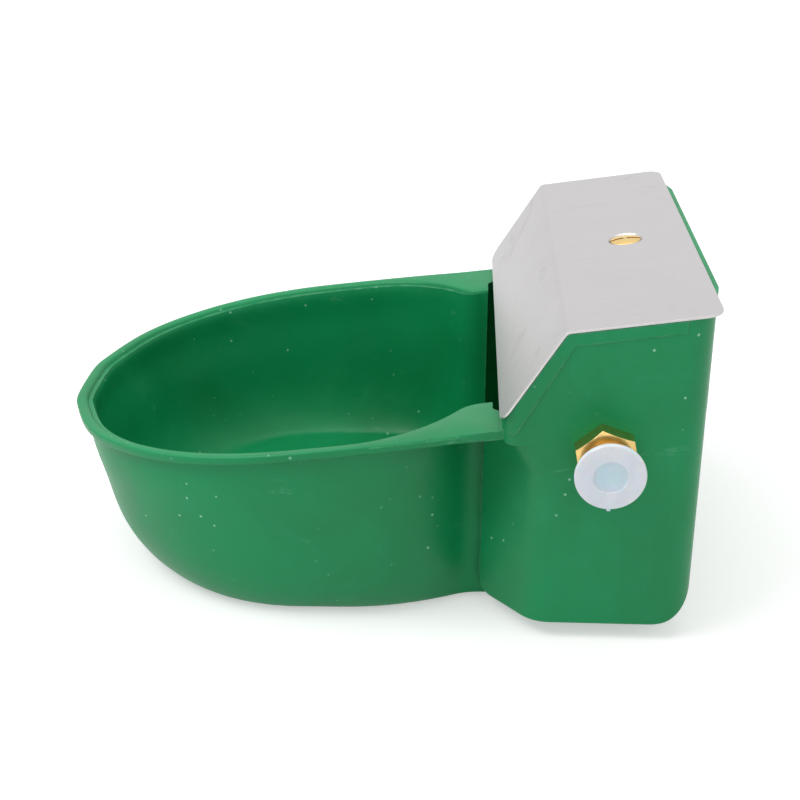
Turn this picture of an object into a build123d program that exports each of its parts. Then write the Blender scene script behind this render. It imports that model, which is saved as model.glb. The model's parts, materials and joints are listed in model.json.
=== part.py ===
from build123d import *
import math
import os

# Livestock drinking bowl: a one-piece moulded tub whose back half is the float chamber,
# a bent sheet cover over that chamber, and a side-entry float valve with its lever and float.
# Millimetres. +Z up, +X towards the water inlet, +Y towards the wall.
# Each piece is drawn with its heights above the underside of the float chamber and its depths
# from the chamber's back face. It is written out with the origin in the wall plane, which is the
# face of the mounting pad, midway between the two wall fixing holes.

# ---- moulded body ------------------------------------------------------------------------
WALL = 4.0                  # thickness of the moulded walls and floor
TILT = 8.0                  # rise of the cover towards the wall, degrees
RIM_TILT = 7.2              # rise of the rim towards the wall, degrees
HALF_WIDTH = 118.6          # float chamber, middle to outer side face
CHAMBER_DEPTH = 102.0       # back face to the crease where the bowl begins
CHAMBER_BACK_RADIUS = 14.0  # upright corners at the wall
CHAMBER_FOOT_RADIUS = 20.0  # lower edge along the wall
CHAMBER_TOE_RADIUS = 5.5    # lower edge beside the bowl
CORNER_SIDE_Y = -76.6       # where the cut-off front corner begins on the side
CORNER_FRONT_X = 90.0       # where it ends on the front
CORNER_ROUND = 18.0         # rounding between the side and the cut-off corner
SHOULDER_Z = 80.0           # from here up the corner fills out towards the rim
SHOULDER_SIDE_Y = -88.0
SHOULDER_FRONT_X = 100.0
SHOULDER_ROUND = 12.0
UPPER_CORNER_ROUND = 9.0    # upright corner above the rim
COVER_SEAT_Z = 160.6        # top of the side walls, at the back face
COVER_BEND_Y = -66.5        # where the side walls turn from the top slope to the front slope
COVER_FRONT_Y = -94.4       # lower end of the front slope
COVER_FRONT_Z = 106.6

# ---- bowl --------------------------------------------------------------------------------
RIM_BACK_Z = 99.9          # rim height at the crease
BOWL_LENGTH = 318.2         # back face to the outer face of the front wall, under the lip
BOWL_HALF_WIDTH = 115.5     # outer wall face just under the lip
BOWL_WIDEST_Y = -192.0      # where the side walls meet the rounded front
BOWL_ROUNDNESS = 2.12        # superellipse exponent of the rounded front
WAIST_START_Y = -170.0      # where the sides begin to turn in towards the crease
WAIST_HALF_WIDTH = 83.0     # half of the bowl's width at the crease
WAIST_SHARE = 0.81          # share of the turning-in taken by its first, outward arc
WAIST_OVERLAP = 10.0        # length of the bowl's solid inside the chamber
SIDE_DRAFT = 5.3            # inward lean of the side walls over the full height
FRONT_DRAFT = 20.7          # inward lean of the front wall over the full height
SIDE_ROUNDING = 13.0        # how far the sides curve in towards the floor
FRONT_ROUNDING = 22.7       # how far the front curves in towards the floor
ROUNDING_HEIGHT = 0.42      # share of the height taken by that curve
BOWL_FLOOR_Z = -5.9         # underside of the bowl, at the crease
BOWL_FLOOR_TILT = 0.9       # rise of the bowl's floor towards the wall, degrees

# ---- rim ---------------------------------------------------------------------------------
LIP_OVERHANG = 2.0
LIP_HEIGHT = 4.5
LIP_ROUND = 1.2
LIP_INNER_ROUND = 2.5       # rounding of the bowl's edge at the top of the rim
LIP_BACK_HALF_WIDTH = 113.9  # outer edge of the lip at the crease
LIP_END_Y = -84.0           # rear end of the rim plate, inside the chamber's walls

BEAD_WIDTH = 6.0            # raised band along the edges of the side walls
BEAD_HEIGHT = 0.5

# ---- wall fixing -------------------------------------------------------------------------
FIXING_SPACING = 120.0
FIXING_HEIGHT = 128.0
FIXING_HOLE_RADIUS = 4.5
PAD_THICKNESS = 4.8         # raised pad on the back face that lies against the wall
PAD_HALF_WIDTH = 82.0       # over its upper part
PAD_MIDDLE_Z = 100.0        # below this height it narrows
PAD_LOW_HALF_WIDTH = 55.0
PAD_LOW_Z = 25.0
PAD_SLOPE = 22.0            # width of its sloping ends

# ---- cover and its screw -----------------------------------------------------------------
SHEET = 1.0
SEAT_GAP = 0.3              # air between the sheet and the moulding under it
COVER_SIDE_OVERHANG = 0.7
COVER_REAR_SETBACK = 2.6    # rear edge of the cover from the wall plane
COVER_CORNER_RADIUS = 8.0
COVER_BEND_RADIUS = 3.0
SCREW_Y = -29.6
SCREW_RADIUS = 4.0
SCREW_HEAD_RADIUS = 8.0
SCREW_LENGTH = 28.0
DIMPLE_RADIUS = 9.2
DIMPLE_SHEET = 1.4          # upright thickness of the sheet in the slanted dimple
HEAD_RECESS = 0.4           # head edge below the top of the sheet
HEAD_CROWN = 1.0
SLOT_WIDTH = 2.0
SLOT_DEPTH = 2.2
SCREW_POINT = 0.8           # bevel at the screw's end
INSERT_RADIUS = 6.0
INSERT_LENGTH = 16.0
INSERT_GROOVE = 0.8         # depth of the two grooves round the insert
INSERT_GROOVE_WIDTH = 1.0
BOSS_RADIUS = 10.0
BOSS_LENGTH = 26.0
RIB_THICKNESS = 5.0

# ---- inlet -------------------------------------------------------------------------------
VALVE_Y = -46.3
VALVE_Z = 92.5
THREAD_RADIUS = 10.48       # G1/2 outside radius
THREAD_BORE_RADIUS = 7.5
THREAD_REACH = 21.5         # outer side face to the end of the thread
RELIEF_WIDTH = 1.5          # groove between the locknut and the free end of the thread
RELIEF_DEPTH = 0.8
HOLE_CLEARANCE = 0.4
NUT_ACROSS_FLATS = 27.0
NUT_THICKNESS = 9.0
NUT_TURN = 10.9             # degrees from a corner straight up
THREAD_CHAMFER = 1.2
BORE_STEP = 2.0             # the bore narrows by this behind the plug
STRAINER_LENGTH = 18.0
STRAINER_WALL = 1.0
STRAINER_SLOT = 1.2
STRAINER_ENDS = 8.0         # length left whole at the two ends of the slots together
SEAL_THICKNESS = 3.0
FLANGE_RADIUS = 16.0
FLANGE_THICKNESS = 4.0
PLUG_RADIUS = 16.2
PLUG_FLANGE = 2.6
PLUG_STEM_LENGTH = 12.0
PLUG_WALL = 1.3
PLUG_CLEARANCE = 3.0        # room between the plug's end and the step in the bore
NIB = (1.2, 1.6, 2.0)       # moulding gate left at the bottom of the plug

# ---- valve -------------------------------------------------------------------------------
BARREL_RADIUS = 12.0
BARREL_BORE_RADIUS = 8.0
RUNNING_FIT = 0.06          # radial clearance of the sliding and turning pieces
FIT = 0.05                  # radial clearance of assembled pieces
NOZZLE_X = 103.0            # shoulder that the nozzle is pressed against
NOZZLE_LENGTH = 7.0
NOZZLE_FLANGE = 4.0
NOZZLE_BORE_RADIUS = 2.5
NOZZLE_WALL = 1.5
NOZZLE_BEVEL = 0.9          # narrows the seat that the rubber closes on
PIVOT_X = 74.0
PIVOT_DROP = 17.0           # pivot axis below the valve axis
PIVOT_RADIUS = 2.0
LEVER_SWING = 12.0          # degrees between open and shut
ARM_DROP = 3.0              # middle of the arm below the pivot axis
HEEL_RADIUS = 3.0
LEVER_THICKNESS = 5.4
LUG_THICKNESS = 3.5
SIDE_PLAY = 0.3
PISTON_LENGTH = 34.0
PISTON_FLUTE_RADIUS = 1.6   # water grooves along the piston's sides
PISTON_SEAL_THICKNESS = 3.0
PISTON_SEAL_RADIUS = 6.0
SEAT_SQUEEZE = 0.1          # room left between the rubber and the seat when shut
HEEL_NECK = 4.0
LUG_RADIUS = 5.0
PIN_HEAD = 1.6
PIN_TAIL = 5.0              # pin beyond the lug
SPLIT_PIN_RADIUS = 0.8
SPLIT_PIN_OFFSET = 2.2      # its hole from the lug
SPLIT_PIN_EYE_RADIUS = 1.6
SPLIT_PIN_LEG = 3.2
SPLIT_PIN_SPREAD = 35.0     # degrees from straight down
END_CAP_THICKNESS = 4.0
END_CAP_VENT_RADIUS = 3.0
BARREL_END_X = 52.0
SPOUT_X = 91.0
SPOUT_RADIUS = 5.0
SPOUT_LENGTH = 30.0
SPOUT_SOCKET = 6.0
SPOUT_WALL = 1.2
SOCKET_WALL = 2.5
SPOUT_COLLAR = 1.0          # step that stops the tube at its socket
SPOUT_SLANT = 35.0          # degrees of the cut at its end
SLOT_LENGTH = 16.0          # opening in the barrel for the lever's heel

# ---- float -------------------------------------------------------------------------------
ARM_LENGTH = 100.0
ROD_RADIUS = 3.0
ROD_LENGTH = 62.0
FLOAT_LENGTH = 84.0
FLOAT_WIDTH = 62.0
FLOAT_HEIGHT = 38.0
FLOAT_WALL = 2.0
FLOAT_CENTRE_DROP = 34.0    # float centre below the pivot, lever level
FLOAT_CORNER_RADIUS = 14.0
FLOAT_EDGE_RADIUS = 5.0
EYE_RADIUS = 6.0
EYE_HEIGHT = 8.0
ROD_NUT_CORNER = 5.8
ROD_NUT_HEIGHT = 5.0
FLOAT_SPLIT = 0.7           # share of the float's height at the weld
SOCKET_HEIGHT = 12.0        # top of the socket that takes the rod's end
SOCKET_FLOOR = 1.0          # room under the rod inside the socket, above the wall
SLEEVE_WALL = 3.0
SLEEVE_RISE = 2.5           # sleeve above the top of the float

SLOPE = math.tan(math.radians(TILT))
RIM_SLOPE = math.tan(math.radians(RIM_TILT))
INNER_HALF_WIDTH = HALF_WIDTH - WALL
PIVOT_Z = VALVE_Z - PIVOT_DROP
EPS = 0.01


def rim_z(y):
    """Height of the top of the rim at the distance y from the chamber's back face."""
    return RIM_BACK_Z + RIM_SLOPE * (y + CHAMBER_DEPTH)


def sloped_plane(y, z, degrees):
    """A plane through (0, y, z) that rises towards the wall."""
    tilt = math.radians(degrees)
    return Plane(origin=(0, y, z), x_dir=(1, 0, 0), z_dir=(0, -math.sin(tilt), math.cos(tilt)))


def rod_along_x(start, end, radius, y=VALVE_Y, z=VALVE_Z):
    """A cylinder along X between two places."""
    face = Plane(origin=(start, y, z), x_dir=(0, 1, 0), z_dir=(1, 0, 0)) * Circle(radius)
    return extrude(face, end - start)


def rod_along_y(x, z, start, end, radius):
    """A cylinder along Y between two places."""
    face = Plane(origin=(x, start, z), x_dir=(1, 0, 0), z_dir=(0, 1, 0)) * Circle(radius)
    return extrude(face, end - start)


def rod_along_z(x, y, start, end, radius):
    """A cylinder along Z between two places."""
    return extrude(Plane(origin=(x, y, start)) * Circle(radius), end - start)


def side_prism(points, half_width):
    """A prism across the width whose outline is given as (y, z) points."""
    plane = Plane(origin=(-half_width, 0, 0), x_dir=(0, 1, 0), z_dir=(1, 0, 0))
    return extrude(plane * make_face(Polyline(*points, close=True)), 2 * half_width)


def rounded_front(half_width, widest_y, tip_y, place):
    """The two mirrored halves of the superellipse round the front, right then left."""
    steps = 6
    points = []
    for k in range(steps + 1):
        angle = math.radians(90.0 * k / steps)
        across = half_width * abs(math.cos(angle)) ** (2 / BOWL_ROUNDNESS) if k < steps else 0.0
        ahead = (widest_y - tip_y) * math.sin(angle) ** (2 / BOWL_ROUNDNESS)
        points.append(place(across, widest_y - ahead))
    right = Spline(*points, tangents=[(0, -1), (-1, 0)])
    return [right, mirror(right, about=Plane.YZ)]


def plan_outline(half_width, waist, tip_y, inner_y, stretch):
    """Closed plan of the bowl: rounded front, straight sides, two arcs that turn in to the waist.

    It is drawn about the crease, stretched along Y for a plane that is tilted.
    """
    def at(x, y):
        return (x, (y + CHAMBER_DEPTH) * stretch)

    run = -CHAMBER_DEPTH - WAIST_START_Y
    depth = half_width - waist
    turn = 2 * math.atan2(depth, run)
    middle = (half_width - WAIST_SHARE * depth, WAIST_START_Y + WAIST_SHARE * run)
    heading = (-math.sin(turn), math.cos(turn))
    right = rounded_front(half_width, BOWL_WIDEST_Y, tip_y, at)[:1]
    right += [
        Line(at(half_width, BOWL_WIDEST_Y), at(half_width, WAIST_START_Y)),
        TangentArc(at(half_width, WAIST_START_Y), at(*middle), tangent=(0, 1)),
        TangentArc(at(*middle), at(waist, -CHAMBER_DEPTH), tangent=(heading[0], heading[1] * stretch)),
        Line(at(waist, -CHAMBER_DEPTH), at(waist, inner_y))]
    left = [mirror(edge, about=Plane.YZ) for edge in right]
    return make_face([*right, *left, Line(at(waist, inner_y), at(-waist, inner_y))])


def bowl_section(share, inset, floor_z):
    """Section of the bowl at a share of its height, tilted between the floor and the rim."""
    below = max(0.0, 1 - share / ROUNDING_HEIGHT)
    curve = 1 - math.sqrt(max(0.0, 1 - below ** 2))
    side = inset + SIDE_DRAFT * (1 - share) + SIDE_ROUNDING * curve
    front = inset + FRONT_DRAFT * (1 - share) + FRONT_ROUNDING * curve
    tilt = BOWL_FLOOR_TILT + (RIM_TILT - BOWL_FLOOR_TILT) * share
    plane = sloped_plane(-CHAMBER_DEPTH, floor_z + (RIM_BACK_Z - floor_z) * share, tilt)
    stretch = 1 / math.cos(math.radians(tilt))
    inner_y = -CHAMBER_DEPTH + WAIST_OVERLAP - inset
    return plane * plan_outline(
        BOWL_HALF_WIDTH - side, WAIST_HALF_WIDTH - inset, -BOWL_LENGTH + front, inner_y, stretch)


def bowl_solid(inset, floor_z):
    """The outside or the inside of the bowl, as a solid up to the rim plane."""
    shares = (1.0, 0.8, 0.6, ROUNDING_HEIGHT, 0.32, 0.2, 0.1, 0.03, 0.0)
    return loft([bowl_section(share, inset, floor_z) for share in shares])


def chamber_block(inset, top_z):
    """The float chamber below the rim: its outside, or its inside when inset by the wall."""
    foot = CHAMBER_FOOT_RADIUS - inset
    toe = CHAMBER_TOE_RADIUS - inset
    front_y = -CHAMBER_DEPTH + inset
    plane = Plane(origin=(-HALF_WIDTH, 0, 0), x_dir=(0, 1, 0), z_dir=(1, 0, 0))
    side_outline = make_face([
        Line((-inset, top_z), (-inset, inset + foot)),
        TangentArc((-inset, inset + foot), (-inset - foot, inset), tangent=(0, -1)),
        Line((-inset - foot, inset), (front_y + toe, inset)),
        TangentArc((front_y + toe, inset), (front_y, inset + toe), tangent=(-1, 0)),
        Line((front_y, inset + toe), (front_y, top_z)),
        Line((front_y, top_z), (-inset, top_z))])
    prism = extrude(plane * side_outline, 2 * HALF_WIDTH, dir=(1, 0, 0))
    plan = chamber_plan(inset, CORNER_SIDE_Y, CORNER_FRONT_X, CORNER_ROUND)
    return prism & extrude(plan, top_z, dir=(0, 0, 1))


def chamber_plan(inset, side_y, front_x, corner_round):
    """Plan of the chamber, inset from its outside, with its front corners cut off and rounded."""
    right = [(HALF_WIDTH, 0), (HALF_WIDTH, side_y), (front_x, -CHAMBER_DEPTH)]
    left = [(-x, y) for x, y in reversed(right)]
    plan = make_face(Polyline(*right, *left, close=True))
    if inset:
        plan = offset(plan, -inset, kind=Kind.INTERSECTION)
    plan = fillet(plan.vertices().group_by(Axis.Y)[-1], CHAMBER_BACK_RADIUS - inset)
    sides = plan.vertices().filter_by(lambda v: v.Y < side_y / 2 and abs(v.X) > HALF_WIDTH - inset - EPS)
    return fillet(sides, corner_round - inset)


def chamber_shoulder():
    """Outside of the chamber below the rim, where the cut-off corners fill out."""
    top_z = rim_z(-CHAMBER_DEPTH) - LIP_HEIGHT / 2
    low = chamber_plan(0.0, CORNER_SIDE_Y, CORNER_FRONT_X, CORNER_ROUND)
    high = chamber_plan(0.0, SHOULDER_SIDE_Y, SHOULDER_FRONT_X, SHOULDER_ROUND)
    return loft([Pos(0, 0, SHOULDER_Z) * low, Pos(0, 0, top_z) * high])


def chamber_upper(swell=0.0):
    """Side and back walls above the rim, solid between them, wider by a swell on each side."""
    start_z = rim_z(-CHAMBER_DEPTH) - LIP_HEIGHT
    outline = [
        (0, start_z), (0, COVER_SEAT_Z), (COVER_BEND_Y, seat_z(COVER_BEND_Y)),
        (COVER_FRONT_Y, COVER_FRONT_Z), (COVER_FRONT_Y, start_z)]
    block = side_prism(outline, HALF_WIDTH + swell)
    upright_edges = block.edges().filter_by(Axis.Z)
    block = fillet(upright_edges.filter_by(lambda e: e.center().Y > -EPS), CHAMBER_BACK_RADIUS)
    front = block.edges().filter_by(Axis.Z).filter_by(lambda e: e.center().Y < COVER_FRONT_Y + EPS)
    return fillet(front, UPPER_CORNER_ROUND)


def seat_z(y):
    """Height of the side walls' top edge under the flat of the cover."""
    return COVER_SEAT_Z + SLOPE * y


def lip():
    """The rim plate: the lip round the bowl and the two shelves beside the cover."""
    stretch = 1 / math.cos(math.radians(RIM_TILT))

    def at(x, y):
        return (x, (y + CHAMBER_DEPTH) * stretch)

    half = BOWL_HALF_WIDTH + LIP_OVERHANG
    right = rounded_front(half, BOWL_WIDEST_Y, -BOWL_LENGTH - LIP_OVERHANG, at)[:1]
    right += [
        Line(at(half, BOWL_WIDEST_Y), at(half, WAIST_START_Y)),
        TangentArc(at(half, WAIST_START_Y), at(LIP_BACK_HALF_WIDTH, -CHAMBER_DEPTH), tangent=(0, 1)),
        Line(at(LIP_BACK_HALF_WIDTH, -CHAMBER_DEPTH), at(LIP_BACK_HALF_WIDTH, LIP_END_Y))]
    left = [mirror(edge, about=Plane.YZ) for edge in right]
    back = Line(at(-LIP_BACK_HALF_WIDTH, LIP_END_Y), at(LIP_BACK_HALF_WIDTH, LIP_END_Y))
    plane = sloped_plane(-CHAMBER_DEPTH, RIM_BACK_Z, RIM_TILT)
    plate = extrude(plane * make_face([*right, *left, back]), -LIP_HEIGHT, dir=plane.z_dir)
    outer = plate.edges().filter_by(lambda e: e.center().Y < -CHAMBER_DEPTH and e.length > 2 * LIP_HEIGHT)
    return fillet(outer, LIP_ROUND)


def bowl_body():
    """The whole green moulding."""
    body = bowl_solid(0.0, BOWL_FLOOR_Z)
    body += chamber_block(0.0, SHOULDER_Z)
    body += chamber_shoulder()
    body += chamber_upper()
    body += lip()
    body += mounting_pad()
    rim = sloped_plane(-CHAMBER_DEPTH, RIM_BACK_Z, RIM_TILT)
    body -= chamber_block(WALL, 1.2 * COVER_SEAT_Z)
    body -= extrude(bowl_section(1.0, WALL, BOWL_FLOOR_Z + WALL), LIP_HEIGHT, dir=rim.z_dir)
    body -= bowl_solid(WALL, BOWL_FLOOR_Z + WALL)
    body -= rim_rounding()
    body += screw_boss()
    body += edge_bead(1) + edge_bead(-1)
    body -= rod_along_x(INNER_HALF_WIDTH - WALL, HALF_WIDTH + 2 * WALL, THREAD_RADIUS + HOLE_CLEARANCE)
    for side in (-1, 1):
        x = side * FIXING_SPACING / 2
        body -= rod_along_y(x, FIXING_HEIGHT, -3 * WALL, 2 * PAD_THICKNESS, FIXING_HOLE_RADIUS)
    return body


def rim_rounding():
    """Cutter that rounds the inner edge of the rim in three flat steps."""
    rim = sloped_plane(-CHAMBER_DEPTH, RIM_BACK_Z, RIM_TILT)
    profile = []
    for angle in (0, 30, 60, 90):
        turn = math.radians(angle)
        profile.append((LIP_INNER_ROUND * (1 - math.cos(turn)), LIP_INNER_ROUND * (1 - math.sin(turn))))
    (inner, low), (outer, high) = profile[-2:]
    profile[-1] = (outer + (outer - inner) / 4, high + (high - low) / 4)
    return loft([
        Pos(*(rim.z_dir * -depth)) * bowl_section(1.0, WALL - spread, BOWL_FLOOR_Z + WALL)
        for spread, depth in profile], ruled=True)


def pad_plan(half_width, z):
    """Plan of the mounting pad at a height: its flat face and the slopes at its ends."""
    edge = half_width + PAD_SLOPE
    right = [(half_width, PAD_THICKNESS), (edge, 0), (edge, -WALL / 2)]
    left = [(-x, y) for x, y in reversed(right)]
    return Pos(0, 0, z) * make_face(Polyline(*right, *left, close=True))


def mounting_pad():
    """The pad on the back face, cut off at the top in line with the side walls."""
    upper = pad_plan(PAD_HALF_WIDTH, PAD_MIDDLE_Z)
    pad = loft([pad_plan(PAD_LOW_HALF_WIDTH, PAD_LOW_Z), upper]) + extrude(upper, COVER_SEAT_Z, dir=(0, 0, 1))
    rear_y = 2 * PAD_THICKNESS
    below_seat = side_prism([(-WALL, 0), (rear_y, 0), (rear_y, seat_z(rear_y)), (-WALL, seat_z(-WALL))], HALF_WIDTH)
    return pad & below_seat


def screw_boss():
    """Boss for the threaded insert, carried off the back wall by a gusset."""
    plane = screw_plane()
    head_room = SCREW_HEAD_RADIUS - SCREW_RADIUS + HEAD_RECESS + 1.4 * SHEET + SEAT_GAP
    top = Plane(origin=plane.origin - plane.z_dir * head_room, x_dir=plane.x_dir, z_dir=plane.z_dir)
    boss = extrude(top * Circle(BOSS_RADIUS), -BOSS_LENGTH)
    top_z = seat_z(SCREW_Y) - head_room / math.cos(math.radians(TILT))
    gusset = side_prism([
        (-WALL / 2, top_z - RIB_THICKNESS + SLOPE * -SCREW_Y), (SCREW_Y, top_z - RIB_THICKNESS),
        (SCREW_Y, top_z - BOSS_LENGTH * 0.9), (-WALL / 2, top_z - 2 * BOSS_LENGTH)], RIB_THICKNESS / 2)
    return boss + gusset - extrude(top * Circle(INSERT_RADIUS), -INSERT_LENGTH) - extrude(
        top * Circle(SCREW_RADIUS + HOLE_CLEARANCE), -BOSS_LENGTH + WALL)


def edge_bead(side):
    """Shallow raised band along the top and front edges of a side wall."""
    rear_y = -CHAMBER_BACK_RADIUS
    lower_z = rim_z(COVER_FRONT_Y)
    normal = math.radians(TILT)
    slope = front_slope()
    y_in = COVER_BEND_Y + BEAD_WIDTH * math.sin((normal + slope) / 2) / math.cos((slope - normal) / 2)
    z_in = seat_z(COVER_BEND_Y) - BEAD_WIDTH * math.cos((normal + slope) / 2) / math.cos((slope - normal) / 2)
    outline = [
        (rear_y, seat_z(rear_y)), (COVER_BEND_Y, seat_z(COVER_BEND_Y)), (COVER_FRONT_Y, COVER_FRONT_Z),
        (COVER_FRONT_Y, lower_z), (COVER_FRONT_Y + BEAD_WIDTH, lower_z),
        (y_in, z_in), (rear_y, seat_z(rear_y) - BEAD_WIDTH)]
    band = side_prism(outline, HALF_WIDTH + BEAD_HEIGHT) & chamber_upper(BEAD_HEIGHT)
    keep = Pos(side * (HALF_WIDTH + BEAD_HEIGHT - WALL / 2), -HALF_WIDTH, HALF_WIDTH) * Box(
        WALL, 2 * HALF_WIDTH, 2 * HALF_WIDTH)
    return band & keep


def front_slope():
    """Angle of the cover's front slope above level, in radians."""
    return math.atan2(seat_z(COVER_BEND_Y) - COVER_FRONT_Z, COVER_BEND_Y - COVER_FRONT_Y)


def cover_outline(offset):
    """Side view of the cover moved out from its seat by an offset, as (y, z) points."""
    top = math.radians(TILT)
    front = front_slope()
    rear_y = PAD_THICKNESS - COVER_REAR_SETBACK
    share = offset / (1 + math.cos(front - top))
    rear = (rear_y - offset * math.sin(top), seat_z(rear_y) + offset * math.cos(top))
    bend = (COVER_BEND_Y - share * (math.sin(top) + math.sin(front)),
            seat_z(COVER_BEND_Y) + share * (math.cos(top) + math.cos(front)))
    lower = (COVER_FRONT_Y - offset * math.sin(front), COVER_FRONT_Z + offset * math.cos(front))
    return [rear, bend, lower]


def cover_plate():
    """Bent sheet: the flat over the chamber, the front slope and the dimple for the screw."""
    half = HALF_WIDTH + COVER_SIDE_OVERHANG
    under = cover_outline(SEAT_GAP)
    over = cover_outline(SEAT_GAP + SHEET)
    plane = Plane(origin=(-half, 0, 0), x_dir=(0, 1, 0), z_dir=(1, 0, 0))
    section = make_face([
        FilletPolyline(*under, radius=COVER_BEND_RADIUS), Line(under[2], over[2]),
        FilletPolyline(*reversed(over), radius=COVER_BEND_RADIUS + SHEET), Line(over[0], under[0])])
    sheet = extrude(plane * section, 2 * half, dir=(1, 0, 0))
    corners = sheet.edges().filter_by(lambda e: e.length < 1.5 * SHEET and abs(e.center().X) > half - EPS)
    corners = corners.filter_by(lambda e: abs(e.tangent_at(0.5).X) < EPS)
    ends = [corners.sort_by(Axis.Y)[:2], corners.sort_by(Axis.Y)[-2:]]
    sheet = fillet([edge for end in ends for edge in end], COVER_CORNER_RADIUS)
    seat = screw_plane()
    highest = top_of_sheet()
    lowest = highest - SCREW_HEAD_RADIUS + SCREW_RADIUS - HEAD_RECESS
    hole = SCREW_RADIUS + HOLE_CLEARANCE
    pressed = make_face(Polyline(
        (DIMPLE_RADIUS, highest), (hole, lowest), (hole, lowest - DIMPLE_SHEET),
        (DIMPLE_RADIUS, highest - DIMPLE_SHEET), close=True))
    sheet -= extrude(seat * Circle(DIMPLE_RADIUS), 3 * SHEET)
    return sheet + revolve(upright(seat) * pressed, Axis(seat.origin, seat.z_dir))


def top_of_sheet():
    """Upper face of the cover above its seat."""
    return SEAT_GAP + SHEET


def screw_plane():
    """The plane of the cover's seat, with its origin on the screw's axis."""
    return sloped_plane(SCREW_Y, seat_z(SCREW_Y), TILT)


def upright(plane):
    """The plane through an axis: across it first, then along it."""
    return Plane(origin=plane.origin, x_dir=plane.x_dir, z_dir=-plane.y_dir)


def cover_screw():
    """Countersunk screw with a slightly raised, slotted head."""
    seat = screw_plane()
    top = top_of_sheet() - HEAD_RECESS
    end = top - SCREW_LENGTH
    head_edge = (SCREW_HEAD_RADIUS - FIT, top - FIT)
    middle = (0, top + HEAD_CROWN)
    outline = make_face([
        Polyline(middle, (0, end), (SCREW_RADIUS - SCREW_POINT, end), (SCREW_RADIUS, end + SCREW_POINT),
                 (SCREW_RADIUS, top - SCREW_HEAD_RADIUS + SCREW_RADIUS), head_edge),
        ThreePointArc(head_edge, (SCREW_HEAD_RADIUS * 0.6, top + HEAD_CROWN * 0.66), middle)])
    screw = revolve(upright(seat) * outline, Axis(seat.origin, seat.z_dir))
    slot = Plane(origin=seat.origin + seat.z_dir * (top + HEAD_CROWN), x_dir=seat.x_dir, z_dir=seat.z_dir)
    return screw - slot * Pos(0, 0, -SLOT_DEPTH / 2) * Box(SLOT_WIDTH, 3 * SCREW_HEAD_RADIUS, SLOT_DEPTH)


def screw_insert():
    """Threaded insert pressed into the boss, with a knurled band between two grooves."""
    seat = screw_plane()
    depth = SCREW_HEAD_RADIUS - SCREW_RADIUS + HEAD_RECESS + DIMPLE_SHEET + SEAT_GAP
    top = Plane(origin=seat.origin - seat.z_dir * depth, x_dir=seat.x_dir, z_dir=seat.z_dir)
    insert = extrude(top * Circle(INSERT_RADIUS - FIT), -INSERT_LENGTH)
    for share in (0.3, 0.7):
        ring = Plane(origin=top.origin - top.z_dir * INSERT_LENGTH * share, x_dir=top.x_dir, z_dir=top.z_dir)
        groove = Circle(INSERT_RADIUS) - Circle(INSERT_RADIUS - INSERT_GROOVE)
        insert -= extrude(ring * groove, -INSERT_GROOVE_WIDTH)
    return insert - extrude(top * Circle(SCREW_RADIUS + RUNNING_FIT), -INSERT_LENGTH)


def valve_body():
    """Turned and milled body: threaded inlet, clamping flange, barrel, hinge lugs and outlet."""
    flange_x = INNER_HALF_WIDTH - SEAL_THICKNESS
    tip_x = HALF_WIDTH + THREAD_REACH
    body = rod_along_x(flange_x, tip_x, THREAD_RADIUS)
    body = chamfer(body.edges().filter_by(GeomType.CIRCLE).sort_by(Axis.X)[-1], THREAD_CHAMFER)
    body -= thread_relief()
    body += rod_along_x(flange_x - FLANGE_THICKNESS, flange_x, FLANGE_RADIUS)
    body += rod_along_x(BARREL_END_X, flange_x, BARREL_RADIUS)
    lug_outer = LEVER_THICKNESS / 2 + SIDE_PLAY + LUG_THICKNESS
    lug = Pos(PIVOT_X, VALVE_Y, (PIVOT_Z + VALVE_Z - BARREL_BORE_RADIUS) / 2) * Box(
        2 * LUG_RADIUS, 2 * lug_outer, VALVE_Z - BARREL_BORE_RADIUS - PIVOT_Z)
    body += lug + rod_along_y(PIVOT_X, PIVOT_Z, VALVE_Y - lug_outer, VALVE_Y + lug_outer, LUG_RADIUS)
    socket_z = VALVE_Z - BARREL_RADIUS - SPOUT_SOCKET
    body += rod_along_z(SPOUT_X, VALVE_Y, socket_z, VALVE_Z, SPOUT_RADIUS + SOCKET_WALL)
    body -= rod_along_x(BARREL_END_X - 1, NOZZLE_X, BARREL_BORE_RADIUS)
    step_x = tip_x - PLUG_STEM_LENGTH - PLUG_CLEARANCE
    body -= rod_along_x(NOZZLE_X - 1, step_x, THREAD_BORE_RADIUS - BORE_STEP)
    body -= rod_along_x(step_x, tip_x + 1, THREAD_BORE_RADIUS)
    slot_half = LEVER_THICKNESS / 2 + SIDE_PLAY
    slot_z = PIVOT_Z - 2 * LUG_RADIUS
    body -= Pos(PIVOT_X, VALVE_Y, (slot_z + VALVE_Z) / 2) * Box(
        SLOT_LENGTH, 2 * slot_half, VALVE_Z - slot_z)
    body -= pivot_hole(2 * lug_outer)
    return body - rod_along_z(SPOUT_X, VALVE_Y, VALVE_Z - 3 * BARREL_RADIUS, VALVE_Z, SPOUT_RADIUS)


def pivot_hole(reach):
    """Cutter for the hinge pin's hole, reaching to both sides of the valve's middle."""
    return rod_along_y(PIVOT_X, PIVOT_Z, VALVE_Y - reach, VALVE_Y + reach, PIVOT_RADIUS + RUNNING_FIT)


def thread_relief():
    """Ring cut from the thread just outside the locknut."""
    start = HALF_WIDTH + NUT_THICKNESS
    ring = rod_along_x(start, start + RELIEF_WIDTH, 2 * THREAD_RADIUS)
    return ring - rod_along_x(start, start + RELIEF_WIDTH, THREAD_RADIUS - RELIEF_DEPTH)


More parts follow.
